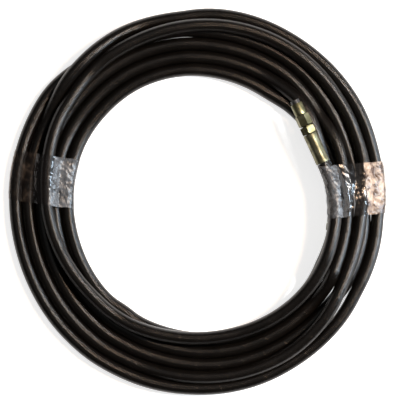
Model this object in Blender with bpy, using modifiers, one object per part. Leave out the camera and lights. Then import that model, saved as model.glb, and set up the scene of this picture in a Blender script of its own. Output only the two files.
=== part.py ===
"""A coiled hydraulic hose assembly, ready for the shelf.

A quarter-inch one-wire hose lies in a flat coil held by two bands of clear tape. Each end has a
crimped fitting: a stem inside the hose, a ferrule round it, and a swivel nut on the stem's nose,
closed by a push-in dust plug. End A lies on top of the coil and end B is tucked in beneath it.

Metres, +Z up. The origin is the middle of the coil, on the surface that it lies on.
"""

import math

import bmesh
import bpy
from mathutils import Vector

# Hose
HOSE_R = 0.0067
COVER_IN_R = 0.0055  # the cover is skived off this far in, under the ferrules
BRAID_IN_R, BRAID_R = 0.00485, 0.00545
LINER_IN_R, LINER_R = 0.0032, 0.00475
GAP = 0.0003

# Coil
COIL_IN_R, COIL_OUT_R = 0.128, 0.192
COIL_HEIGHT = 0.025
COIL_CHAMFER = 0.006
COIL_SIDES = 64

# Fittings: where the back of each ferrule is, and the way its nut points in plan
A_BACK, A_HEADING = (0.1313, -0.0143, 0.034), 90.0
B_BACK, B_HEADING = (0.1338, -0.0476, 0.0083), -120.0

# Lengths along a fitting, from the back of its ferrule
FERRULE_LENGTH = 0.032
FERRULE_R = 0.0072
FERRULE_BORE_R = BRAID_R + 0.00015
LIP_BACK, LIP_BORE_R = 0.0296, 0.00385
LAYERS_END = 0.027
STEM_BACK = 0.0015
STEM_TAIL_R, STEM_BARB_R = 0.00275, 0.003
SHOULDER_BACK, SHOULDER_FRONT, SHOULDER_R = 0.0276, 0.0293, 0.0049
LOCK_R = 0.0036
COLLAR_BACK, COLLAR_FRONT = 0.0323, 0.0403
COLLAR_FLATS = 0.014
NECK_R, NECK_FRONT = 0.0042, 0.048
WIRE_AT, WIRE_HALF_GROOVE = 0.0447, 0.0008
WIRE_RING_R, WIRE_R = 0.00427, 0.00055
NOSE_R, NOSE_FRONT = 0.0026, 0.0525
SEAL_AT, SEAL_HALF_GROOVE, SEAL_FLOOR_R = 0.0499, 0.0007, 0.00295
SEAL_RING_R, SEAL_R = 0.00362, 0.00055
STEM_BORE_R = 0.002
NUT_BACK, NUT_HEX_FRONT, NUT_FRONT = 0.041, 0.053, 0.0653
NUT_FLATS = 0.013
SKIRT_R = 0.0061
NUT_NECK_BORE_R, NUT_GROOVE_R, NUT_BORE_R = 0.00435, 0.00495, 0.00465
THREAD_BACK = 0.0476
MOUTH_R, MOUTH_DEPTH = 0.0051, 0.0006
NUT_A_TURN, NUT_B_TURN = 14.0, 0.0
PLUG_BACK, PLUG_FRONT = 0.054, 0.069
PLUG_R, PLUG_WALL = 0.0044, 0.0009
PLUG_LIP, PLUG_LIP_LENGTH = 0.0002, 0.0012
TURNED_SIDES = 24

# Uncoiled stretches of hose, as (angle in degrees, radius, height) round the coil
TAIL_A = (
    (-10.3, 0.1336, 0.0342),
    (-18, 0.1366, 0.0353),
    (-28, 0.1378, 0.0363),
    (-38, 0.1385, 0.0365),
    (-48, 0.1394, 0.0355),
    (-58, 0.1398, 0.0325),
    (-70, 0.1394, 0.0275),
    (-81, 0.1384, 0.0233),
    (-92, 0.1373, 0.0208),
)
TAIL_B = (
    (-15.7, 0.1442, 0.0082),
    (-8, 0.1446, 0.0079),
    (0, 0.1430, 0.0075),
    (8, 0.1403, 0.0072),
    (16, 0.1376, 0.0070),
    (25.2, 0.1360, 0.0070),
)
TAIL_STEP = 0.026
TAIL_RESOLUTION = 3

# Room for end B under the coil, and for end A's hose in its top
NICHE_FROM, NICHE_TO = -72.0, 25.4
NICHE_R, NICHE_HEIGHT = 0.156, 0.017
CHANNEL_R = HOSE_R + GAP

# Tape bands: the angle round the coil, half the width, and the outline (distance out, height)
TAPE_THICKNESS = 0.0004
TAPE_RECESS = 0.0009
LEFT_TAPE_ANGLE, LEFT_TAPE_HALF = 146.4, 0.025
RIGHT_TAPE_ANGLE, RIGHT_TAPE_HALF = -19.4, 0.025
LEFT_TAPE = (
    (0.1244, 0.0050),
    (0.1244, 0.0205),
    (0.1300, 0.0254),
    (0.1875, 0.0254),
    (0.1928, 0.0195),
    (0.1928, 0.0055),
    (0.1875, 0.0005),
    (0.1295, 0.0005),
)
RIGHT_TAPE = (
    (0.1229, 0.0050),
    (0.1229, 0.0360),
    (0.1275, 0.0422),
    (0.1330, 0.0440),
    (0.1415, 0.0440),
    (0.1490, 0.0395),
    (0.1875, 0.0256),
    (0.1928, 0.0195),
    (0.1928, 0.0055),
    (0.1875, 0.0005),
    (0.1295, 0.0005),
)


def clear_scene():
    for old in list(bpy.data.objects):
        bpy.data.objects.remove(old)


def new_collection(name):
    made = bpy.data.collections.new(name)
    bpy.context.scene.collection.children.link(made)
    return made


def new_material(name, colour, roughness, metallic=0.0, alpha=1.0):
    made = bpy.data.materials.new(name)
    made.use_nodes = True
    shader = made.node_tree.nodes["Principled BSDF"]
    shader.inputs["Base Color"].default_value = (*colour, 1)
    shader.inputs["Roughness"].default_value = roughness
    shader.inputs["Metallic"].default_value = metallic
    shader.inputs["Alpha"].default_value = alpha
    return made


def add_object(name, data, home, material=None, parent=None):
    made = bpy.data.objects.new(name, data)
    home.objects.link(made)
    if material:
        data.materials.append(material)
    if parent:
        made.parent = parent
    if home is CUTTERS:
        made.hide_render = True
        made.display_type = "WIRE"
    return made


def turned(name, outline, home, material=None, parent=None, closed=True, sides=TURNED_SIDES):
    """A profile of (radius, height) points turned round Z. It runs down its outer side."""
    mesh = bpy.data.meshes.new(name)
    count = len(outline)
    edges = [(i, i + 1) for i in range(count - 1)] + ([(count - 1, 0)] if closed else [])
    mesh.from_pydata([(r, 0, z) for r, z in outline], edges, [])
    made = add_object(name, mesh, home, material, parent)
    screw = made.modifiers.new("Turn", "SCREW")
    screw.steps = screw.render_steps = sides
    screw.use_merge_vertices = True
    screw.merge_threshold = 1e-6
    screw.use_smooth_shade = True
    return made


def prism(name, outline, low, high, home, material=None, parent=None):
    """A flat outline of (x, y) points, anticlockwise from above, raised from low to high."""
    mesh = bpy.data.meshes.new(name)
    shape = bmesh.new()
    face = shape.faces.new([shape.verts.new((x, y, low)) for x, y in outline])
    raised = bmesh.ops.extrude_face_region(shape, geom=[face])["geom"]
    up = [v for v in raised if isinstance(v, bmesh.types.BMVert)]
    bmesh.ops.translate(shape, verts=up, vec=(0, 0, high - low))
    bmesh.ops.recalc_face_normals(shape, faces=shape.faces)
    shape.to_mesh(mesh)
    shape.free()
    return add_object(name, mesh, home, material, parent)


def hexagon(flats):
    corner = flats / 2 / math.cos(math.pi / 6)
    return [
        (corner * math.cos(math.radians(60 * i)), corner * math.sin(math.radians(60 * i)))
        for i in range(6)
    ]


def torus(name, at, ring_radius, wire_radius, material, parent):
    bpy.ops.mesh.primitive_torus_add(
        major_radius=ring_radius,
        minor_radius=wire_radius,
        major_segments=20,
        minor_segments=6,
    )
    made = bpy.context.object
    made.name = name
    for home in list(made.users_collection):
        home.objects.unlink(made)
    PARTS.objects.link(made)
    made.data.materials.append(material)
    made.data.shade_smooth()
    made.parent = parent
    made.location = (0, 0, at)
    return made


def boolean(target, tool, operation):
    modifier = target.modifiers.new(operation.title(), "BOOLEAN")
    modifier.operation = operation
    modifier.object = tool


def around(angle, radius, height=0.0):
    """The point at this angle in degrees round the coil."""
    turn = math.radians(angle)
    return Vector((radius * math.cos(turn), radius * math.sin(turn), height))


def smooth_route(points, step):
    """Points about a step apart on a smooth curve through the given points."""
    ends = [2 * points[0] - points[1], *points, 2 * points[-1] - points[-2]]
    route = [points[0]]
    for before, start, end, after in zip(ends, ends[1:], ends[2:], ends[3:]):
        pieces = max(1, round((end - start).length / step))
        for i in range(1, pieces + 1):
            t = i / pieces
            route.append(
                (
                    2 * start
                    + (end - before) * t
                    + (2 * before - 5 * start + 4 * end - after) * t**2
                    + (3 * start - before - 3 * end + after) * t**3
                )
                / 2
            )
    return route


def tube(name, route, radius, home, material=None):
    curve = bpy.data.curves.new(name, "CURVE")
    curve.dimensions = "3D"
    curve.bevel_depth = radius
    curve.bevel_resolution = TAIL_RESOLUTION
    curve.use_fill_caps = True
    spline = curve.splines.new("POLY")
    spline.points.add(len(route) - 1)
    for point, place in zip(spline.points, route):
        point.co = (*place, 1)
    return add_object(name, curve, home, material)


def as_mesh(curve_object):
    """The curve's own shape as a mesh cutter. Its caps are welded, and the curve is removed."""
    bpy.context.view_layer.update()
    graph = bpy.context.evaluated_depsgraph_get()
    mesh = bpy.data.meshes.new_from_object(curve_object.evaluated_get(graph))
    shape = bmesh.new()
    shape.from_mesh(mesh)
    bmesh.ops.remove_doubles(shape, verts=shape.verts, dist=1e-6)
    shape.to_mesh(mesh)
    shape.free()
    made = add_object(curve_object.name + "_mesh", mesh, CUTTERS)
    made.matrix_world = curve_object.matrix_world
    bpy.data.objects.remove(curve_object)
    return made


def heading_vector(heading):
    return around(heading, 1.0)


def fitting_place(name, back, heading):
    """An empty at the back of the ferrule, whose Z runs along the fitting to its open end."""
    place = bpy.data.objects.new(name, None)
    PARTS.objects.link(place)
    place.location = back
    place.rotation_euler = (-math.pi / 2, 0, math.radians(heading - 90))
    return place


def make_ferrule(end, place):
    chamfer = 0.0008
    outline = [
        (FERRULE_R - chamfer, FERRULE_LENGTH),
        (FERRULE_R, FERRULE_LENGTH - 2 * chamfer),
        (FERRULE_R, chamfer / 2),
        (FERRULE_R - chamfer / 2, 0),
        (FERRULE_BORE_R, 0),
        (FERRULE_BORE_R, LIP_BACK),
        (LIP_BORE_R, LIP_BACK),
        (LIP_BORE_R, FERRULE_LENGTH),
    ]
    return turned(f"ferrule_{end}", outline, PARTS, ZINC, place)


def make_layers(end, place):
    """The hose's own inner layers, where the ferrule grips them on the stem."""
    for name, inner, outer, material in (
        ("inner_tube", LINER_IN_R, LINER_R, LINER),
        ("wire_braid", BRAID_IN_R, BRAID_R, BRAID),
    ):
        outline = [(outer, LAYERS_END), (outer, GAP), (inner, GAP), (inner, LAYERS_END)]
        turned(f"{name}_{end}", outline, PARTS, material, place)


def stem_outline():
    """From the nose down to the tail that goes into the hose."""
    outline = [(0, NOSE_FRONT), (NOSE_R, NOSE_FRONT)]
    cone = (NECK_R - NOSE_R) / (NOSE_FRONT - NECK_FRONT)
    for at, r in (
        (SEAL_AT + SEAL_HALF_GROOVE, None),
        (SEAL_AT + SEAL_HALF_GROOVE, SEAL_FLOOR_R),
        (SEAL_AT - SEAL_HALF_GROOVE, SEAL_FLOOR_R),
        (SEAL_AT - SEAL_HALF_GROOVE, None),
    ):
        outline.append((r or NOSE_R + (NOSE_FRONT - at) * cone, at))
    outline += [
        (NECK_R, NECK_FRONT),
        (NECK_R, WIRE_AT + WIRE_HALF_GROOVE),
        (LOCK_R, WIRE_AT + WIRE_HALF_GROOVE),
        (LOCK_R, WIRE_AT - WIRE_HALF_GROOVE),
        (NECK_R, WIRE_AT - WIRE_HALF_GROOVE),
        (NECK_R, COLLAR_BACK + 0.001),
        (LOCK_R, COLLAR_BACK + 0.001),
        (LOCK_R, SHOULDER_FRONT),
        (SHOULDER_R, SHOULDER_FRONT),
        (SHOULDER_R, SHOULDER_BACK),
        (STEM_TAIL_R, SHOULDER_BACK),
    ]
    barbs = 5
    pitch = (SHOULDER_BACK - STEM_BACK) / (barbs + 1)
    for i in range(barbs):
        top = SHOULDER_BACK - (i + 0.5) * pitch
        outline += [(STEM_TAIL_R, top), (STEM_BARB_R, top - pitch * 0.1), (STEM_TAIL_R, top - pitch * 0.7)]
    return outline + [(STEM_TAIL_R, STEM_BACK), (0, STEM_BACK)]


def make_stem(end, place):
    stem = turned(f"stem_{end}", stem_outline(), PARTS, ZINC, place, closed=False)
    collar = prism(
        f"collar_{end}", hexagon(COLLAR_FLATS), COLLAR_BACK, COLLAR_FRONT, CUTTERS, parent=place
    )
    collar.rotation_euler.z = math.radians(30)
    reach = 0.002
    bore = turned(
        f"stem_bore_{end}",
        [(0, NOSE_FRONT + reach), (STEM_BORE_R, NOSE_FRONT + reach),
         (STEM_BORE_R, STEM_BACK - reach), (0, STEM_BACK - reach)],
        CUTTERS, parent=place, closed=False, sides=16,
    )
    boolean(stem, collar, "UNION")
    boolean(stem, bore, "DIFFERENCE")
    return stem


def make_nut(end, place, turn):
    nut = prism(
        f"swivel_nut_{end}", hexagon(NUT_FLATS), NUT_BACK, NUT_HEX_FRONT, PARTS, ZINC, place
    )
    nut.rotation_euler.z = math.radians(turn)
    overlap = 0.001
    skirt = turned(
        f"skirt_{end}",
        [(0, NUT_FRONT), (SKIRT_R, NUT_FRONT),
         (SKIRT_R, NUT_HEX_FRONT - overlap), (0, NUT_HEX_FRONT - overlap)],
        CUTTERS, parent=place, closed=False,
    )
    reach = 0.002
    bore = turned(
        f"nut_bore_{end}",
        [
            (0, NUT_FRONT + reach),
            (MOUTH_R, NUT_FRONT + reach),
            (MOUTH_R, NUT_FRONT),
            (NUT_BORE_R, NUT_FRONT - MOUTH_DEPTH),
            (NUT_BORE_R, THREAD_BACK),
            (NUT_NECK_BORE_R, THREAD_BACK),
            (NUT_NECK_BORE_R, WIRE_AT + WIRE_HALF_GROOVE),
            (NUT_GROOVE_R, WIRE_AT + WIRE_HALF_GROOVE),
            (NUT_GROOVE_R, WIRE_AT - WIRE_HALF_GROOVE),
            (NUT_NECK_BORE_R, WIRE_AT - WIRE_HALF_GROOVE),
            (NUT_NECK_BORE_R, NUT_BACK - reach),
            (0, NUT_BACK - reach),
        ],
        CUTTERS, parent=place, closed=False,
    )
    boolean(nut, skirt, "UNION")
    boolean(nut, bore, "DIFFERENCE")
    return nut


def make_plug(end, place):
    """A cup that pushes into the nut. Its open end stands out as a grip with a small lip."""
    lip = PLUG_FRONT - PLUG_LIP_LENGTH
    inner = PLUG_R - PLUG_WALL
    outline = [
        (PLUG_R + PLUG_LIP, PLUG_FRONT),
        (PLUG_R + PLUG_LIP, lip),
        (PLUG_R, lip),
        (PLUG_R, PLUG_BACK + PLUG_WALL),
        (PLUG_R - PLUG_WALL, PLUG_BACK),
        (0, PLUG_BACK),
    ]
    outline = [(0, PLUG_BACK + PLUG_WALL), (inner, PLUG_BACK + PLUG_WALL), (inner, PLUG_FRONT)] + outline
    return turned(f"dust_plug_{end}", outline, PARTS, PLASTIC, place, closed=False)


def make_fitting(end, back, heading, nut_turn):
    place = fitting_place(f"fitting_{end}", back, heading)
    make_ferrule(end, place)
    make_layers(end, place)
    make_stem(end, place)
    torus(f"thrust_wire_{end}", WIRE_AT, WIRE_RING_R, WIRE_R, STEEL, place)
    torus(f"cone_seal_{end}", SEAL_AT, SEAL_RING_R, SEAL_R, SEAL, place)
    make_nut(end, place, nut_turn)
    make_plug(end, place)


def tail_route(back, heading, turns):
    """From just behind the ferrule to the coil, through the tail's own points."""
    start = Vector(back) - heading_vector(heading) * GAP
    return smooth_route([start, *(around(*turn) for turn in turns)], TAIL_STEP)


def sector(inner, outer, start, end, pieces=12):
    """The outline of part of a ring, anticlockwise."""
    angles = [start + (end - start) * i / pieces for i in range(pieces + 1)]
    outside = [around(a, outer)[:2] for a in angles]
    inside = [around(a, inner)[:2] for a in reversed(angles)]
    return outside + inside


def make_tails():
    route_a = tail_route(A_BACK, A_HEADING, TAIL_A)
    tube("hose_tail_a", route_a, HOSE_R, PARTS, RUBBER)
    tube("hose_tail_b", tail_route(B_BACK, B_HEADING, TAIL_B), HOSE_R, PARTS, RUBBER)
    onward = (route_a[-1] - route_a[-2]).normalized()
    return as_mesh(tube("channel", [*route_a, route_a[-1] + onward * GAP], CHANNEL_R, CUTTERS))


def make_coil(channel):
    """The outer shape of all the turns, with a niche below for end B and a channel on top."""
    c = COIL_CHAMFER
    outline = [
        (COIL_OUT_R, COIL_HEIGHT - c),
        (COIL_OUT_R, c),
        (COIL_OUT_R - c, 0),
        (COIL_IN_R + c, 0),
        (COIL_IN_R, c),
        (COIL_IN_R, COIL_HEIGHT - c),
        (COIL_IN_R + c, COIL_HEIGHT),
        (COIL_OUT_R - c, COIL_HEIGHT),
    ]
    coil = turned("hose_coil", outline, PARTS, RUBBER, sides=COIL_SIDES)
    inside = 0.8 * COIL_IN_R
    niche = prism(
        "niche", sector(inside, NICHE_R, NICHE_FROM, NICHE_TO), -0.002, NICHE_HEIGHT, CUTTERS
    )
    boolean(coil, niche, "DIFFERENCE")
    boolean(coil, channel, "DIFFERENCE")
    for name, angle, half in (
        ("left_recess", LEFT_TAPE_ANGLE, LEFT_TAPE_HALF),
        ("right_recess", RIGHT_TAPE_ANGLE, RIGHT_TAPE_HALF),
    ):
        wide = half + 0.001
        strip = [(inside, -wide), (1.1 * COIL_OUT_R, -wide), (1.1 * COIL_OUT_R, wide), (inside, wide)]
        recess = prism(name, strip, -0.002, TAPE_RECESS, CUTTERS)
        recess.rotation_euler.z = math.radians(angle)
        boolean(coil, recess, "DIFFERENCE")
    return coil


def make_tape(name, outline, angle, half):
    """A band round the whole bundle: a closed strip, thickened outwards."""
    count = len(outline)
    mesh = bpy.data.meshes.new(name)
    verts = [(out, side, up) for side in (-half, half) for out, up in outline]
    faces = [(i, (i + 1) % count, (i + 1) % count + count, i + count) for i in range(count)]
    mesh.from_pydata(verts, [], faces)
    tape = add_object(name, mesh, PARTS, TAPE)
    tape.rotation_euler.z = math.radians(angle)
    skin = tape.modifiers.new("Thickness", "SOLIDIFY")
    skin.thickness = TAPE_THICKNESS
    skin.offset = 1
    return tape


clear_scene()
PARTS = new_collection("hydraulic_hose_assembly")
CUTTERS = new_collection("cutters")
RUBBER = new_material("cover_rubber", (0.03, 0.028, 0.027), 0.5)
ZINC = new_material("yellow_zinc", (0.55, 0.50, 0.34), 0.35, 1.0)
STEEL = new_material("spring_steel", (0.5, 0.5, 0.5), 0.35, 1.0)
BRAID = new_material("braid_wire", (0.62, 0.55, 0.38), 0.4, 1.0)
LINER = new_material("liner_rubber", (0.02, 0.02, 0.02), 0.6)
SEAL = new_material("seal_rubber", (0.02, 0.02, 0.02), 0.45)
PLASTIC = new_material("plug_plastic", (0.03, 0.03, 0.03), 0.4)
TAPE = new_material("clear_tape", (0.85, 0.82, 0.76), 0.2, alpha=0.35)

make_fitting("a", A_BACK, A_HEADING, NUT_A_TURN)
make_fitting("b", B_BACK, B_HEADING, NUT_B_TURN)
make_coil(make_tails())
make_tape("tape_left", LEFT_TAPE, LEFT_TAPE_ANGLE, LEFT_TAPE_HALF)
make_tape("tape_right", RIGHT_TAPE, RIGHT_TAPE_ANGLE, RIGHT_TAPE_HALF)
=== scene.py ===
"""Looks for the coiled hydraulic hose assembly: the hose itself as one long cord, its crimped
fittings, dust plugs and tape bands, on a pale floor and lit from the picture's right."""

import math

import bpy
import numpy as np
from mathutils import Matrix, Vector, noise


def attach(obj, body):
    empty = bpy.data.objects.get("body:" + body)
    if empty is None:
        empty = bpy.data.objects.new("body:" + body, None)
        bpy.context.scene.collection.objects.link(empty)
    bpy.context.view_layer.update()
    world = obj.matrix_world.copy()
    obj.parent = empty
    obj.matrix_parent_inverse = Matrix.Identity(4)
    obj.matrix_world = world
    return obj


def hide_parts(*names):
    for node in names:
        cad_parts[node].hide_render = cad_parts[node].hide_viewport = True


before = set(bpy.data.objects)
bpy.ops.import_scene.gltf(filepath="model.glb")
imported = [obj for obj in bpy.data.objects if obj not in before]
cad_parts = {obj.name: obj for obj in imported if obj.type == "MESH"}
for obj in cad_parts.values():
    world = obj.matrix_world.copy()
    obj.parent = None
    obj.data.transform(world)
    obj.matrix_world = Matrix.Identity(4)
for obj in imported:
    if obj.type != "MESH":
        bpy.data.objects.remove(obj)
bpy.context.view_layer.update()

# ---------------------------------------------------------------- the hose's own sizes, metres
HOSE_R = 0.0067
HOSE_D = 2 * HOSE_R
GAP = 0.0003

# Each fitting: the back of its ferrule, and the way it points in plan
A_BACK, A_HEADING = (0.1313, -0.0143, 0.034), 90.0
B_BACK, B_HEADING = (0.1338, -0.0476, 0.0083), -120.0

# The room that fitting B is given under the turns, as (up to this far along it, radius)
B_REACH = 0.084
B_CLEAR = ((0.032, 0.0072), (0.041, 0.0082), (0.0535, 0.0076), (0.066, 0.0068))
B_CLEAR_PLUG = 0.0062

# The stretches behind the ferrules, as (angle round the coil, radius, height)
TAIL_A = (
    (-10.3, 0.1336, 0.0342),
    (-18, 0.1366, 0.0353),
    (-28, 0.1378, 0.0363),
    (-38, 0.1385, 0.0365),
    (-48, 0.1394, 0.0355),
    (-58, 0.1398, 0.0325),
    (-70, 0.1394, 0.0275),
    (-81, 0.1384, 0.0233),
    (-92, 0.1373, 0.0208),
)
TAIL_B = (
    (-15.7, 0.1442, 0.0082),
    (-8, 0.1446, 0.0079),
    (0, 0.1430, 0.0075),
    (8, 0.1403, 0.0072),
    (16, 0.1376, 0.0070),
    (25.2, 0.1360, 0.0070),
)

# How far out each turn is laid, in millimetres, at twelve places clockwise from end A
LAY_STATION = 30
LAY = (
    (132, 138, 140, 137, 137, 142, 148, 158, 170, 178, 182, 180),
    (173, 164.5, 172, 177, 173, 173, 170, 176, 183, 192, 195, 191),
    (186, 185, 187, 188, 187, 187, 187, 188, 187, 180, 177, 170),
    (163, 170, 168, 165, 163, 162, 160, 161, 163, 164, 162, 159),
    (151, 150.5, 155, 157, 156, 155, 150, 149, 152, 152, 148, 146),
    (135, 140, 142, 139, 135, 133, 133, 135, 138, 138, 137, 136),
    (139,),
)
LAY_FROM = -6.6  # the angle round the coil of the first station
LAY_STEP = 2  # degrees between the points of the route
LAY_END = 13  # how many degrees past the last station the hose runs, to ferrule B
A_BACK_OUT, B_BACK_OUT = 0.1321, 0.1420  # how far out it is at each ferrule
END_CLEAR = 0.004  # no point of the route is nearer to a ferrule's back than this

# How the turns settle, in metres and in shares of what is wanted at each round
SETTLE_ROUNDS = 3000
CLOSE = -0.0002  # turns that touch press into each other this much
HUG = 0.0016  # turns this near each other are drawn together
HUG_LEVEL = 0.003  # and only where their heights differ by less than this
HUG_PULL = 0.08
PUSH_APART = 0.6
SINK = 2e-5
SMOOTHING, STIFFNESS = 0.1, 0.3
RETURN = 0.01  # how strongly a turn goes back to where it was laid
CLIMB = 0.6  # the upward lean of a push between turns that lie nearly one above the other


# ---------------------------------------------------------------- small helpers
def around(angle, radius, height=0.0):
    turn = math.radians(angle)
    return Vector((radius * math.cos(turn), radius * math.sin(turn), height))


def fitting_matrix(back, heading):
    """Z runs along the fitting to its open end, from the back of the ferrule."""
    tip_over = Matrix.Rotation(-math.pi / 2, 4, "X")
    turn = Matrix.Rotation(math.radians(heading - 90), 4, "Z")
    return Matrix.Translation(back) @ (turn @ tip_over)


def smooth_between(x, known, values):
    """A smooth curve through values at the known places, read at x."""
    values = np.asarray(values, float)
    ends = np.concatenate([[2 * values[0] - values[1]], values, [2 * values[-1] - values[-2]]])
    i = np.clip(np.searchsorted(known, x, side="right") - 1, 0, len(known) - 2)
    t = (x - known[i]) / (known[i + 1] - known[i])
    a, b, c, d = ends[i], ends[i + 1], ends[i + 2], ends[i + 3]
    turn = (2 * a - 5 * b + 4 * c - d) * t**2 + (3 * b - a - 3 * c + d) * t**3
    return (2 * b + (c - a) * t + turn) / 2


# ---------------------------------------------------------------- how the turns lie on each other
def fitting_b_shape():
    """Places round the coil along fitting B with its plug pulled out, and how thick it is there."""
    along = np.linspace(0, B_REACH, 120)
    heading = math.radians(B_HEADING)
    x, y = B_BACK[0] + along * math.cos(heading), B_BACK[1] + along * math.sin(heading)
    thick = np.select(
        [along < end for end, _ in B_CLEAR],
        [radius for _, radius in B_CLEAR],
        B_CLEAR_PLUG,
    )
    return LAY_FROM - np.degrees(np.arctan2(y, x)), np.hypot(x, y), thick


def settle_turns():
    """Radius and height of the hose every LAY_STEP degrees: laid turn by turn, then let settle."""
    lay = np.array([r for turn in LAY for r in turn]) / 1000
    places = np.arange(0, LAY_STATION * (len(lay) - 1) + LAY_END + 1, LAY_STEP, dtype=float)
    radius = smooth_between(places, LAY_STATION * np.arange(len(lay)), lay)
    count, turn = len(places), 360 // LAY_STEP
    turns = len(LAY) - 1

    tail_a = [(0, A_BACK_OUT, A_BACK[2])] + [(LAY_FROM - a, r, z) for a, r, z in TAIL_A]
    tail_b = [(LAY_FROM - a + 360 * turns, r, z) for a, r, z in TAIL_B][::-1]
    tail_b += [(360 * turns + LAY_END, B_BACK_OUT, B_BACK[2])]
    held = np.zeros(count, bool)
    height = np.full(count, HOSE_R)
    for tail in (np.array(tail_a), np.array(tail_b)):
        part = (places >= tail[0, 0]) & (places <= tail[-1, 0])
        radius[part] = np.interp(places[part], tail[:, 0], tail[:, 1])
        height[part] = np.interp(places[part], tail[:, 0], tail[:, 2])
        held |= part

    b_place, b_radius, b_thick = fitting_b_shape()
    within = np.mod(places, 360)
    beside = (within >= b_place[0]) & (within <= b_place[-1])
    b_radius = np.where(beside, np.interp(within, b_place, b_radius), 1.0)
    b_reach = np.interp(within, b_place, b_thick) + HOSE_R + GAP

    reach = HOSE_D + CLOSE
    for i in range(count - 1, -1, -1):
        if held[i]:
            continue
        rest = HOSE_R
        for j in range(i + turn, count, turn):
            across = radius[i] - radius[j]
            if abs(across) < reach:
                rest = max(rest, height[j] + math.sqrt(reach**2 - across**2))
        across = radius[i] - b_radius[i]
        if abs(across) < b_reach[i]:
            rest = max(rest, B_BACK[2] + math.sqrt(b_reach[i] ** 2 - across**2))
        height[i] = rest

    free = np.where(held, 0.0, 1.0)
    wanted = radius.copy()

    def bend(line):
        curve = np.zeros_like(line)
        curve[1:-1] = (line[:-2] + line[2:]) / 2 - line[1:-1]
        return curve

    for _ in range(SETTLE_ROUNDS):
        height -= free * SINK
        for line in (height, radius):
            curve = bend(line)
            line += free * (SMOOTHING * curve - STIFFNESS * bend(curve))
        radius += free * RETURN * (wanted - radius)
        for _ in range(2):
            for k in range(1, turns + 1):
                upper, lower = slice(0, count - turn * k), slice(turn * k, count)
                if count <= turn * k:
                    continue
                out, up = radius[upper] - radius[lower], height[upper] - height[lower]
                apart = np.maximum(np.hypot(out, up), 1e-6)
                near = (apart > reach) & (apart < reach + HUG) & (np.abs(up) < HUG_LEVEL)
                pressed = PUSH_APART * np.maximum(reach - apart, 0)
                push = np.where(near, HUG_PULL * (reach - apart), pressed)
                out, up = out / apart, up / apart
                up = np.where((up < 0.05) & (np.abs(out) < 0.8), CLIMB, up)
                share = free[upper] + free[lower]
                share = np.where(share > 0, share, 1)
                for part, move in (
                    (upper, push * free[upper] / share),
                    (lower, -push * free[lower] / share),
                ):
                    radius[part] += move * out
                    height[part] += move * up
            out, up = radius - b_radius, height - B_BACK[2]
            apart = np.maximum(np.hypot(out, up), 1e-6)
            push = free * np.maximum(b_reach - apart, 0)
            radius += push * out / apart
            height += push * np.abs(up) / apart
            height = np.where(free > 0, np.maximum(height, HOSE_R), height)
    return places, radius, height


def hose_route():
    places, radius, height = settle_turns()
    points = [around(LAY_FROM - p, r, z) for p, r, z in zip(places, radius, height)]
    start = Vector(A_BACK) - GAP * around(A_HEADING, 1)
    end = Vector(B_BACK) - GAP * around(B_HEADING, 1)
    while (points[0] - start).length < END_CLEAR or points[0].y > start.y:
        points.pop(0)
    behind = around(B_HEADING, 1)
    while (points[-1] - end).length < END_CLEAR or (points[-1] - end).dot(behind) > 0:
        points.pop()
    return [start, *points, end]


# ---------------------------------------------------------------- meshes
def new_mesh(name, verts, faces, material, smooth=40, uv=None):
    mesh = bpy.data.meshes.new(name)
    mesh.from_pydata([tuple(v) for v in verts], [], faces)
    if uv is not None:
        layer = mesh.uv_layers.new(name="UVMap")
        layer.data.foreach_set("uv", np.asarray(uv, np.float32).ravel())
    mesh.materials.append(material)
    mesh.shade_smooth()
    mesh.set_sharp_from_angle(angle=math.radians(smooth))
    made = bpy.data.objects.new(name, mesh)
    bpy.context.scene.collection.objects.link(made)
    return made


def sweep(name, points, radius, sides, material):
    """A closed round tube along the points. Its UVs are metres along it and once round it."""
    points = np.array(points)
    along = np.gradient(points, axis=0)
    along /= np.linalg.norm(along, axis=1)[:, None]
    across = np.cross(along, (0.0, 0.0, 1.0))
    across /= np.linalg.norm(across, axis=1)[:, None]
    up = np.cross(across, along)
    turn = 2 * np.pi * np.arange(sides) / sides
    rings = (
        points[:, None]
        + radius * np.cos(turn)[None, :, None] * across[:, None]
        + radius * np.sin(turn)[None, :, None] * up[:, None]
    )
    gone = np.concatenate([[0], np.cumsum(np.linalg.norm(np.diff(points, axis=0), axis=1))])
    faces, uv = [], []
    for i in range(len(points) - 1):
        for k in range(sides):
            n = (k + 1) % sides
            faces.append((i * sides + k, (i + 1) * sides + k, (i + 1) * sides + n, i * sides + n))
            uv += [
                (gone[i], k / sides),
                (gone[i + 1], k / sides),
                (gone[i + 1], (k + 1) / sides),
                (gone[i], (k + 1) / sides),
            ]
    last = (len(points) - 1) * sides
    faces.append(tuple(range(sides)))
    faces.append(tuple(last + k for k in reversed(range(sides))))
    uv += [(0, 0)] * (2 * sides)
    return new_mesh(name, rings.reshape(-1, 3), faces, material, smooth=60, uv=uv)


def flats_radius(angle, across, sides):
    wedge = 2 * math.pi / sides
    return across / 2 / math.cos((angle + wedge / 2) % wedge - wedge / 2)


def turned(name, outline, place, material, steps=72, turn=0.0):
    """A closed outline turned round Z. Its points are (radius, along), and where it has flats
    (radius, along, across flats, sides)."""
    verts = []
    for radius, along, *flats in outline:
        for k in range(steps):
            angle = 2 * math.pi * k / steps
            r = min(radius, flats_radius(angle + math.pi / flats[1], *flats)) if flats else radius
            angle += math.radians(turn)
            verts.append(place @ Vector((r * math.cos(angle), r * math.sin(angle), along)))
    faces = []
    count = len(outline)
    for i in range(count):
        j = (i + 1) % count
        for k in range(steps):
            n = (k + 1) % steps
            faces.append((i * steps + k, j * steps + k, j * steps + n, i * steps + n))
    return new_mesh(name, verts, faces, material, smooth=32)


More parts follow.
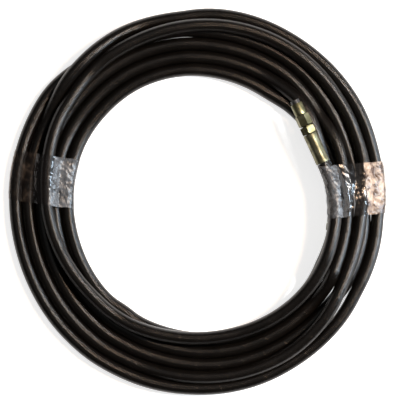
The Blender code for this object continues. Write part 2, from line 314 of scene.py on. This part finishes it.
# ---------------------------------------------------------------- materials
class Nodes:
    """A short way to lay out a material's nodes."""

    def __init__(self, name):
        self.material = bpy.data.materials.new(name)
        self.material.use_nodes = True
        self.tree = self.material.node_tree
        self.shader = self.tree.nodes["Principled BSDF"]

    def add(self, kind, inputs=(), **settings):
        node = self.tree.nodes.new("ShaderNode" + kind)
        for key, value in settings.items():
            setattr(node, key, value)
        for key, value in dict(inputs).items():
            if isinstance(value, bpy.types.NodeSocket):
                self.tree.links.new(value, node.inputs[key])
            else:
                node.inputs[key].default_value = value
        return node

    def ramp(self, factor, *stops):
        node = self.add("ValToRGB", {"Fac": factor})
        elements = node.color_ramp.elements
        while len(elements) < len(stops):
            elements.new(0.5)
        for element, (at, colour) in zip(elements, stops):
            element.position = at
            element.color = (*colour, 1)
        return node.outputs["Color"]

    def grey(self, factor, *stops):
        return self.ramp(factor, *[(at, (v, v, v)) for at, v in stops])

    def bump(self, height, distance, strength=1.0, after=None):
        inputs = {"Height": height, "Distance": distance, "Strength": strength}
        if after is not None:
            inputs["Normal"] = after
        return self.add("Bump", inputs).outputs["Normal"]

    def set(self, **values):
        for key, value in values.items():
            socket = self.shader.inputs[key.replace("_", " ")]
            if isinstance(value, bpy.types.NodeSocket):
                self.tree.links.new(value, socket)
            else:
                socket.default_value = value
        return self.material


def mix_out(node):
    """The colour output of a Mix node set to RGBA."""
    return [s for s in node.outputs if s.type == "RGBA"][0]


def wrapped_rubber():
    """Black cover cured under a cloth wrap: a fine weave print, the wrap's lap lines, and dust."""
    n = Nodes("wrapped_rubber")
    uv = n.add("TexCoord").outputs["UV"]
    in_metres = (1.0, math.pi * HOSE_D, 1.0)
    place = n.add("Mapping", {"Vector": uv, "Scale": in_metres}).outputs["Vector"]
    threads = []
    for angle in (38, -38):
        turned_uv = n.add(
            "Mapping", {"Vector": place, "Rotation": (0, 0, math.radians(angle))}
        ).outputs["Vector"]
        threads.append(
            n.add(
                "TexWave",
                {
                    "Vector": turned_uv,
                    "Scale": 260.0,
                    "Distortion": 0.6,
                    "Detail": 1.0,
                    "Detail Scale": 3.0,
                },
                wave_type="BANDS",
                bands_direction="X",
            ).outputs["Fac"]
        )
    weave = n.add("Math", {0: threads[0], 1: threads[1]}, operation="MAXIMUM").outputs[0]
    lap = n.add("Mapping", {"Vector": uv, "Scale": (42.0, 1.0, 1.0)}).outputs["Vector"]
    parts = n.add("SeparateXYZ", {"Vector": lap})
    along, round_it = parts.outputs["X"], parts.outputs["Y"]
    helix = n.add("Math", {0: along, 1: round_it}, operation="ADD").outputs[0]
    saw = n.add("Math", {0: helix}, operation="FRACT").outputs[0]
    ridge = n.grey(saw, (0.0, 0.0), (0.04, 1.0), (0.3, 0.45), (1.0, 0.0))
    world = n.add("TexCoord").outputs["Object"]
    dust = n.add(
        "TexNoise", {"Vector": world, "Scale": 38.0, "Detail": 5.0, "Roughness": 0.62}
    ).outputs["Fac"]
    specks = n.add("TexNoise", {"Vector": world, "Scale": 900.0, "Detail": 2.0}).outputs["Fac"]
    base = n.ramp(
        dust,
        (0.3, (0.0018, 0.0014, 0.0011)),
        (0.62, (0.0032, 0.0024, 0.0019)),
        (0.8, (0.0065, 0.0048, 0.0038)),
    )
    pale = n.grey(specks, (0.60, 0.0), (0.78, 0.35))
    colour = n.add("Mix", {0: pale, "A": base, "B": (0.03, 0.027, 0.024, 1)}, data_type="RGBA")
    rough = n.add(
        "MapRange",
        {"Value": dust, "From Min": 0.25, "From Max": 0.8, "To Min": 0.17, "To Max": 0.27},
    ).outputs["Result"]
    normal = n.bump(weave, 0.0003, 0.4)
    normal = n.bump(ridge, 0.00025, 0.35, normal)
    normal = n.bump(dust, 0.0005, 0.2, normal)
    return n.set(
        Base_Color=mix_out(colour), Roughness=rough, Normal=normal, Specular_IOR_Level=0.28
    )


def yellow_zinc(name, yellow=1.0, lathe=0.0):
    """Zinc plate under a pale yellow passivation, with faint blooms and turning marks."""
    n = Nodes(name)
    spot = n.add("TexCoord").outputs["Object"]
    bloom = n.add(
        "TexNoise", {"Vector": spot, "Scale": 120.0, "Detail": 4.0, "Roughness": 0.6}
    ).outputs["Fac"]
    fine = n.add("TexNoise", {"Vector": spot, "Scale": 1500.0, "Detail": 3.0}).outputs["Fac"]

    def tinted(grey, tint):
        return tuple(g + (t - g) * yellow for g, t in zip(grey, tint))

    gold = tinted((0.10, 0.098, 0.088), (0.125, 0.12, 0.06))
    pale = tinted((0.20, 0.197, 0.185), (0.25, 0.242, 0.14))
    colour = n.ramp(bloom, (0.28, tuple(0.55 * c for c in gold)), (0.48, gold), (0.72, pale))
    rough = n.add(
        "MapRange",
        {"Value": bloom, "From Min": 0.3, "From Max": 0.7, "To Min": 0.48, "To Max": 0.34},
    ).outputs["Result"]
    normal = n.bump(fine, 0.00005, 0.35 + lathe)
    return n.set(Base_Color=colour, Roughness=rough, Metallic=1.0, Normal=normal)


def plain(name, low, high, rough, metallic=0.0, scale=400.0, bump=0.00004):
    """A quiet material that varies a little over its surface."""
    n = Nodes(name)
    spot = n.add("TexCoord").outputs["Object"]
    grain = n.add("TexNoise", {"Vector": spot, "Scale": scale, "Detail": 4.0}).outputs["Fac"]
    colour = n.ramp(grain, (0.3, low), (0.7, high))
    worn = n.add(
        "MapRange",
        {"Value": grain, "From Min": 0.3, "From Max": 0.7, "To Min": rough[0], "To Max": rough[1]},
    ).outputs["Result"]
    return n.set(
        Base_Color=colour, Roughness=worn, Metallic=metallic, Normal=n.bump(grain, bump, 0.5)
    )


def braid_wire():
    """Brass-coated wire, plaited round the inner tube."""
    n = Nodes("braided_wire")
    spot = n.add("TexCoord").outputs["Object"]
    wave = n.add(
        "TexWave",
        {"Vector": spot, "Scale": 420.0, "Distortion": 1.5},
        wave_type="BANDS",
        bands_direction="DIAGONAL",
    ).outputs["Fac"]
    colour = n.ramp(wave, (0.1, (0.25, 0.2, 0.1)), (0.6, (0.62, 0.52, 0.3)))
    return n.set(Base_Color=colour, Roughness=0.35, Metallic=1.0, Normal=n.bump(wave, 0.0002, 0.8))


def tape_film(name):
    """Clear film: nearly invisible where it sticks to the hose, milky and creased where it
    spans a gap. Where milky, its colour is the film's own grey haze with a painted cool
    reflection, turning outwards to a painted reflection of the warm light. U of its UVs says
    how milky it is there, and V how warm the tint, that is how far the painted warm reflection
    takes over."""
    n = Nodes(name)
    spot = n.add("TexCoord")
    marks = n.add("SeparateXYZ", {"Vector": spot.outputs["UV"]})
    # free: how milky the film is; warm: how far its colour turns to painted warm reflection
    free, warm = marks.outputs["X"], marks.outputs["Y"]
    place = spot.outputs["Object"]
    creases = n.add(
        "TexVoronoi", {"Vector": place, "Scale": 85.0}, feature="DISTANCE_TO_EDGE"
    ).outputs["Distance"]
    haze = n.add(
        "TexNoise", {"Vector": place, "Scale": 90.0, "Detail": 5.0, "Roughness": 0.65}
    ).outputs["Fac"]
    fine = n.add("TexNoise", {"Vector": place, "Scale": 420.0, "Detail": 3.0}).outputs["Fac"]
    line = n.grey(creases, (0.0, 1.0), (0.07, 0.35), (0.2, 0.0))
    cloudy = n.grey(haze, (0.32, 0.25), (0.66, 1.0))
    milk = n.add("Math", {0: free, 1: cloudy}, operation="MULTIPLY").outputs[0]
    creased = n.add("Math", {0: line, 1: haze}, operation="MULTIPLY").outputs[0]
    creased = n.add("Math", {0: creased, 1: 0.10}, operation="MULTIPLY").outputs[0]
    total = n.add("Math", {0: milk, 1: creased}, operation="ADD").outputs[0]
    alpha = n.add("MapRange", {"Value": total, "To Min": 0.45, "To Max": 0.82}).outputs["Result"]
    # Painted reflection: a cool grey tint, partly the film's own haze and partly painted reflection
    # of the cool light, and a warm tint painted in for the warm light's reflection; V mixes them
    haze_and_cool_reflection = n.ramp(haze, (0.35, (0.05, 0.053, 0.058)), (0.7, (0.12, 0.125, 0.134)))
    painted_warm_reflection = n.ramp(haze, (0.42, (0.09, 0.05, 0.035)), (0.6, (0.46, 0.34, 0.25)))
    haze_and_painted_reflection = n.add("Mix", {0: warm, "A": haze_and_cool_reflection, "B": painted_warm_reflection}, data_type="RGBA")
    seen = n.grey(total, (0.02, 0.0), (0.45, 1.0))
    dark = n.ramp(fine, (0.3, (0.004, 0.003, 0.003)), (0.7, (0.012, 0.010, 0.009)))
    colour = mix_out(n.add("Mix", {0: seen, "A": dark, "B": mix_out(haze_and_painted_reflection)}, data_type="RGBA"))
    crumple = n.add("MapRange", {"Value": free, "To Min": 0.06, "To Max": 0.4}).outputs["Result"]
    normal = n.bump(line, 0.0005, crumple)
    normal = n.bump(fine, 0.0002, crumple, normal)
    rough = n.add(
        "MapRange", {"Value": total, "From Max": 0.6, "To Min": 0.13, "To Max": 0.36}
    ).outputs["Result"]
    return n.set(
        Base_Color=colour, Roughness=rough, Alpha=alpha, Normal=normal, Specular_IOR_Level=0.5
    )


# ---------------------------------------------------------------- camera
FIELD = 0.406  # how wide a square of the coil's own level the picture takes in
VIEW_ABOVE = 1.6  # how far above that level the camera is
LEVEL = 0.02
OFF_CENTRE = Vector((0.0015, 0.0041, 0))  # where the picture's middle is from the coil's axis
camera_data = bpy.data.cameras.new("camera")
camera_data.sensor_width = 36
camera_data.lens = camera_data.sensor_width * VIEW_ABOVE / FIELD
camera = bpy.data.objects.new("camera", camera_data)
bpy.context.scene.collection.objects.link(camera)
ROLL = math.radians(-24.6)
shift = Matrix.Rotation(ROLL, 3, "Z") @ OFF_CENTRE
camera.location = (shift.x, shift.y, VIEW_ABOVE + LEVEL)
camera.rotation_euler = (0, 0, ROLL)
bpy.context.scene.camera = camera

# ---------------------------------------------------------------- the hose
route = hose_route()
hose = sweep("hose", route, HOSE_R, 20, wrapped_rubber())

# ---------------------------------------------------------------- fittings
ZINC_FERRULE = yellow_zinc("zinc_ferrule", 0.6)
ZINC_NUT = yellow_zinc("zinc_nut", 0.8)
ZINC_STEM = yellow_zinc("zinc_stem", 0.85)
PLUG = plain("moulded_plug", (0.012, 0.012, 0.013), (0.022, 0.022, 0.024), (0.32, 0.5))
LINER = plain("liner_rubber", (0.012, 0.012, 0.012), (0.02, 0.02, 0.02), (0.5, 0.7))
SEAL = plain("seal_rubber", (0.01, 0.01, 0.01), (0.018, 0.018, 0.018), (0.3, 0.45))
SPRING = plain("spring_wire", (0.38, 0.38, 0.38), (0.55, 0.55, 0.55), (0.25, 0.4), 1.0)
BRAID = braid_wire()


# Sizes that the pieces of a fitting share, along it from the ferrule's back
FERRULE_LENGTH = 0.032
NUT_BACK, HEX_FRONT, NUT_FRONT = 0.041, 0.053, 0.0653
LOCK_BACK, LOCK_FRONT = 0.0439, 0.0455  # the groove that the thrust wire lies in
CHAMFER_LEAN = 1.7


def chamfered(low, high, corner, across, deep):
    """The outer side of a hex, with a turned chamfer at both ends, from high to low."""
    rows = []
    for i in range(6):
        t = i / 5
        rows.append((corner - deep * (1 - t) * CHAMFER_LEAN, high - deep * t, across, 6))
    for i in range(6):
        t = i / 5
        rows.append((corner - deep * t * CHAMFER_LEAN, low + deep * (1 - t), across, 6))
    return rows


def make_ferrule(end, place):
    """Crimped by eight dies: flats round its middle, and a plain round collar at each end."""
    r, length = 0.0072, FERRULE_LENGTH
    dies = (2 * 0.00698, 8)
    outline = [
        (0.0052, length),
        (r - 0.0007, length),
        (r - 0.0002, length - 0.0003),
        (r, length - 0.0012),
        (r, length - 0.0040),
        (r - 0.00005, length - 0.0048, *dies),
        (r - 0.00005, 0.0042, *dies),
        (r, 0.0034),
        (r, 0.0010),
        (r - 0.0002, 0.0003),
        (r - 0.0006, 0.0),
        (0.0056, 0.0),
        (0.0056, 0.0296),
        (0.00385, 0.0296),
        (0.00385, length),
    ]
    return turned(f"crimped_ferrule_{end}", outline, place, ZINC_FERRULE, turn=11)


def make_stem(end, place):
    """From the cone nose, past the seal's groove, the thrust wire's and the hex, to the barbs."""
    across = 0.014
    corner = across / math.sqrt(3)
    outline = [(0.0022, 0.0523), (0.0024, 0.0525), (0.0026, 0.0524), (0.00335, 0.0506)]
    outline += [(0.00295, 0.0506), (0.00295, 0.0492), (0.00385, 0.0492), (0.0042, 0.048)]
    outline += [(0.0042, LOCK_FRONT), (0.0036, LOCK_FRONT), (0.0036, LOCK_BACK)]
    outline += [(0.0042, LOCK_BACK), (0.0042, 0.0403), (corner - 0.0015, 0.0403)]
    outline += chamfered(0.0323, 0.0402, corner, across, 0.0008)
    outline += [(corner - 0.0015, 0.0323), (0.0036, 0.0323), (0.0036, 0.0293), (0.0049, 0.0293)]
    outline += [(0.0049, 0.0276), (0.00275, 0.0276)]
    for i in range(5):
        top = 0.0276 - (i + 0.5) * 0.00435
        outline += [(0.00275, top), (0.003, top - 0.0004), (0.00275, top - 0.003)]
    outline += [(0.00275, 0.0015), (0.002, 0.0015), (0.002, 0.0520)]
    return turned(f"hose_stem_{end}", outline, place, ZINC_STEM, turn=23)


def make_nut(end, place, turn):
    """A hex and a round skirt outside. Inside, the thrust wire's groove and a thread's ridges."""
    across = 0.013
    corner = across / math.sqrt(3)
    skirt, front = 0.0061, NUT_FRONT
    outline = [
        (0.0051, front),
        (skirt - 0.0005, front),
        (skirt - 0.00012, front - 0.00015),
        (skirt, front - 0.0005),
        (skirt, HEX_FRONT + 0.0009),
        (skirt - 0.00012, HEX_FRONT + 0.0003),
        (skirt + 0.00005, HEX_FRONT),
    ]
    outline += chamfered(0.0411, HEX_FRONT, corner, across, 0.0009)
    outline += [
        (corner - 0.0017, NUT_BACK),
        (0.0046, NUT_BACK),
        (0.00435, 0.0413),
        (0.00435, LOCK_BACK),
        (0.00495, LOCK_BACK),
        (0.00495, LOCK_FRONT),
        (0.00435, LOCK_FRONT),
        (0.00435, 0.0476),
        (0.00485, 0.0476),
    ]
    pitch, crest, root = 0.0010, 0.00465, 0.00495
    at = 0.0486
    while at < front - 0.0012:
        outline += [(root, at), (crest, at + pitch / 2)]
        at += pitch
    outline += [(crest, front - 0.0006)]
    return turned(f"swivel_nut_body_{end}", outline, place, ZINC_NUT, turn=turn)


def make_plug(end, place):
    """A hollow cap that is open outwards, with a lip and a sealing rib."""
    outline = [
        (0.0035, 0.069),
        (0.0044, 0.069),
        (0.0046, 0.0688),
        (0.0046, 0.0680),
        (0.0044, 0.0678),
        (0.0044, 0.0666),
        (0.00455, 0.0660),
        (0.0044, 0.0654),
        (0.0044, 0.0600),
        (0.00452, 0.0597),
        (0.0044, 0.0594),
        (0.0044, 0.0552),
        (0.0036, 0.0541),
        (0.0003, 0.0540),
        (0.0001, 0.0549),
        (0.0034, 0.0549),
        (0.0035, 0.0552),
    ]
    return turned(f"push_in_plug_{end}", outline, place, PLUG, steps=48)


SLOTS = {
    "inner_tube": (LINER, "liner_rubber"),
    "wire_braid": (BRAID, "braid_wire"),
    "thrust_wire": (SPRING, "spring_steel"),
    "cone_seal": (SEAL, "seal_rubber"),
}
for end, back, heading, nut_turn in (
    ("a", A_BACK, A_HEADING, 14.0),
    ("b", B_BACK, B_HEADING, 0.0),
):
    place = fitting_matrix(back, heading)
    ferrule = make_ferrule(end, place)
    stem = make_stem(end, place)
    nut = make_nut(end, place, nut_turn + 30)
    plug = make_plug(end, place)
    for piece, node, body, slot in (
        (ferrule, f"ferrule_{end}", "hose", "yellow_zinc"),
        (stem, f"stem_{end}", "hose", "yellow_zinc"),
        (nut, f"swivel_nut_{end}", f"nut_{end}", "yellow_zinc"),
        (plug, f"dust_plug_{end}", f"plug_{end}", "plug_plastic"),
    ):
        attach(piece, body)
        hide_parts(node)
    for kind, (material, slot) in SLOTS.items():
        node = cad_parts[f"{kind}_{end}"]
        node.data.materials.clear()
        node.data.materials.append(material)
        node.data.shade_smooth()

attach(hose, "hose")
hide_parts("hose_coil", "hose_tail_a", "hose_tail_b")

# ---------------------------------------------------------------- tape
MIDDLE = (0.160, 0.013)  # about the middle of the bundle, out and up
B_END = Vector(B_BACK) + 0.066 * around(B_HEADING, 1)
TAPE_OFF = 0.0005  # from the rubber to the film
TAPE_THICK = 0.00015  # how far a wind lies over the one before it
TAPE_ROWS, TAPE_STEPS = 44, 260  # across a band, and once round it
FLAT_BELOW = 0.004  # the film is smooth against the floor below this height
UNDER = 0.012  # and evenly milky below this one
UNDER_MILKY = 0.35
WARM_REFLECTION_FROM, WARM_REFLECTION_OVER = 0.165, 0.008  # from this far out the film's colour turns to a painted warm reflection, over this far
DIP = 0.45  # how much of the room between strands the film sinks into
LOOSE_END, END_LIFT = 0.05, 0.0035  # the last part of a round, which lifts off by this much
RAGGED = 0.0012  # how far the band's edges wander


def hull(points):
    """The convex outline of the points, anticlockwise."""
    points = sorted(map(tuple, points))
    halves = []
    for ordered in (points, points[::-1]):
        half = []
        for p in ordered:
            while len(half) > 1:
                (ax, ay), (bx, by) = half[-2], half[-1]
                if (bx - ax) * (p[1] - ay) - (by - ay) * (p[0] - ax) > 0:
                    break
                half.pop()
            half.append(p)
        halves += half[:-1]
    return np.array(halves)


def strands_across(angle, aside):
    """Where the hose passes the plane that lies aside from the line at this angle: (out, up)."""
    back = Matrix.Rotation(-math.radians(angle), 3, "Z")
    points = [back @ p for p in [*route, B_END]]
    found = []
    for p, q in zip(points, points[1:]):
        if p.x > 0 and (p.y - aside) * (q.y - aside) <= 0 and p.y != q.y:
            t = (aside - p.y) / (q.y - p.y)
            found.append((p.x + t * (q.x - p.x), p.z + t * (q.z - p.z)))
    return found


def start_of(loop, steps, start):
    """How far along the closed loop the ray at this angle from the bundle's middle meets it."""
    ray = np.array((math.cos(math.radians(start)), math.sin(math.radians(start))))
    ahead = (loop - MIDDLE) @ ray
    aside = (loop - MIDDLE) @ (-ray[1], ray[0])
    for k in range(len(loop) - 1):
        if aside[k] * aside[k + 1] <= 0 and aside[k] != aside[k + 1]:
            t = aside[k] / (aside[k] - aside[k + 1])
            if ahead[k] + t * (ahead[k + 1] - ahead[k]) > 0:
                return steps[k] + t * (steps[k + 1] - steps[k])
    return 0.0


def clipped(value):
    return min(1.0, max(0.0, value))


def crinkle_at(x, z, aside, seed):
    """How far the film is creased in or out there, in shares of its crinkle."""
    spot = Vector((x * 70 + aside * 110, z * 90, aside * 35 - x * 50 + seed))
    folds = 0.6 * abs(noise.noise(spot * 5.1))
    return noise.noise(spot * 2.2) + folds + 0.35 * noise.noise(spot * 11)


def milky_at(x, z, aside, seed, room, loose):
    """How milky the film is: in its loose stretches, below, and a little where it spans a gap."""
    blur = 0.0012 * noise.noise(Vector((aside * 150, seed, z * 90)))
    milky = max(clipped(0.5 + (half - abs(x + blur - out)) / 0.0015) for out, half in loose)
    return max(milky if z > UNDER else UNDER_MILKY, 0.05 * clipped((room - 0.001) / 0.003))


def make_tape(name, angle, half, material, seed, start, lap, crinkle, loose):
    """A strip wound once round the bundle and a little over itself. It lies on the strands it
    touches, dips a little between them, and is crinkled all over."""
    total = round(TAPE_STEPS * (1 + lap))
    circle = [(math.cos(math.radians(a)), math.sin(math.radians(a))) for a in range(0, 360, 9)]
    turn = Matrix.Rotation(math.radians(angle), 3, "Z")
    reach = HOSE_R + TAPE_OFF
    verts, marks = [], []
    for j in range(TAPE_ROWS + 1):
        aside = -half + 2 * half * j / TAPE_ROWS
        strands = np.array(strands_across(angle, aside))
        outline = hull([(x + reach * c, z + reach * s) for x, z in strands for c, s in circle])
        outline[:, 1] = np.maximum(outline[:, 1], 0.0003)
        loop = np.vstack([outline, outline[:1]])
        steps = np.concatenate([[0], np.cumsum(np.linalg.norm(np.diff(loop, axis=0), axis=1))])
        first = start_of(loop, steps, start)
        for i in range(total + 1):
            at = (first + i / TAPE_STEPS * steps[-1]) % steps[-1]
            ahead = (at + 0.0008) % steps[-1]
            x, z = (np.interp(at, steps, loop[:, k]) for k in (0, 1))
            next_x, next_z = (np.interp(ahead, steps, loop[:, k]) for k in (0, 1))
            along = Vector((next_x - x, next_z - z)).normalized()
            outward = Vector((along.y, -along.x))
            room = min(math.hypot(x - sx, z - sz) for sx, sz in strands) - HOSE_R - 0.0002
            milky = milky_at(x, z, aside, seed, room, loose)
            # V of the film's UVs: how far its colour is painted reflection of the warm light
            marks.append((milky, clipped((x - WARM_REFLECTION_FROM) / WARM_REFLECTION_OVER)))
            ridge = crinkle * crinkle_at(x, z, aside, seed) * (0.3 + 0.7 * milky)
            dip = DIP * max(0.0, room - 0.0003)
            off = max(-dip + ridge, -room) + TAPE_THICK * (i / TAPE_STEPS)
            if z < FLAT_BELOW:
                off = 0.0
            left = (total - i) / TAPE_STEPS
            if left < LOOSE_END:
                off += END_LIFT * (1 - left / LOOSE_END) ** 2
            side = aside
            if j in (0, TAPE_ROWS):
                side += RAGGED * noise.noise(Vector((i * 0.05, seed, 3.0 * (j > 0))))
            flat = Vector((x + outward.x * off, side, max(0.0002, z + outward.y * off)))
            verts.append(turn @ flat)
    row = total + 1
    corners = [j * row + i for j in range(TAPE_ROWS) for i in range(total)]
    faces = [(a, a + 1, a + row + 1, a + row) for a in corners]
    uv = [marks[k] for face in faces for k in face]
    return new_mesh(name, verts, faces, material, smooth=75, uv=uv)


FILM = tape_film("clear_film")
# Each band: how far out its milky stretches are and half their widths
LOOSE_LEFT = ((0.139, 0.0115),)
LOOSE_RIGHT = ((0.134, 0.009), (0.186, 0.0155))
# Its name, CAD node, angle round the coil, half width, seed, where it starts, its overlap, how
# deep its crinkles are, and its milky stretches
TAPES = (
    ("tape_band_left", "tape_left", 146.4, 0.025, 11.0, 290, 0.12, 0.0008, LOOSE_LEFT),
    ("tape_band_right", "tape_right", -19.4, 0.0265, 47.0, 280, 0.2, 0.0009, LOOSE_RIGHT),
)
for name, node, angle, half, seed, start, lap, crinkle, loose in TAPES:
    tape = make_tape(name, angle, half, FILM, seed, start, lap, crinkle, loose)
    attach(tape, "hose")
    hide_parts(node)

# ---------------------------------------------------------------- floor and light
floor_nodes = Nodes("pale_floor")
spot = floor_nodes.add("TexCoord").outputs["Object"]
mottle = floor_nodes.add("TexNoise", {"Vector": spot, "Scale": 3.0, "Detail": 2.0}).outputs["Fac"]
floor_nodes.set(
    Base_Color=floor_nodes.ramp(mottle, (0.3, (0.9, 0.9, 0.9)), (0.7, (0.93, 0.93, 0.93))),
    Roughness=0.9,
    Emission_Color=(1, 1, 1, 1),
    Emission_Strength=0.72,
)
bpy.ops.mesh.primitive_plane_add(size=14)
floor = bpy.context.object
floor.name = "floor"
floor.data.materials.append(floor_nodes.material)


def add_light(name, azimuth, elevation, distance, size, power, colour):
    """An area light that looks at the coil. Azimuth is from the picture's right, anticlockwise."""
    turn = math.radians(azimuth) + ROLL
    up = math.radians(elevation)
    data = bpy.data.lights.new(name, "AREA")
    data.shape = "DISK"
    data.size = size
    data.energy = power
    data.color = colour
    light = bpy.data.objects.new(name, data)
    bpy.context.scene.collection.objects.link(light)
    where = Vector((math.cos(turn) * math.cos(up), math.sin(turn) * math.cos(up), math.sin(up)))
    light.location = where * distance
    light.rotation_euler = where.to_track_quat("Z", "Y").to_euler()


WHITE = (1.0, 0.97, 0.93)
add_light("key", 12, 44, 1.9, 0.3, 40, WHITE)
add_light("warm", 20, 56, 2.0, 0.36, 26, (1.0, 0.70, 0.48))
add_light("cool", 0, 23, 1.9, 0.6, 42, (0.68, 0.84, 1.0))
add_light("top", 100, 75, 2.4, 2.4, 6, WHITE)

world = bpy.data.worlds.new("world")
world.use_nodes = True
background = world.node_tree.nodes["Background"]
background.inputs["Color"].default_value = (1, 1, 1, 1)
background.inputs["Strength"].default_value = 0.07
bpy.context.scene.world = world
bpy.context.scene.view_settings.view_transform = "Standard"
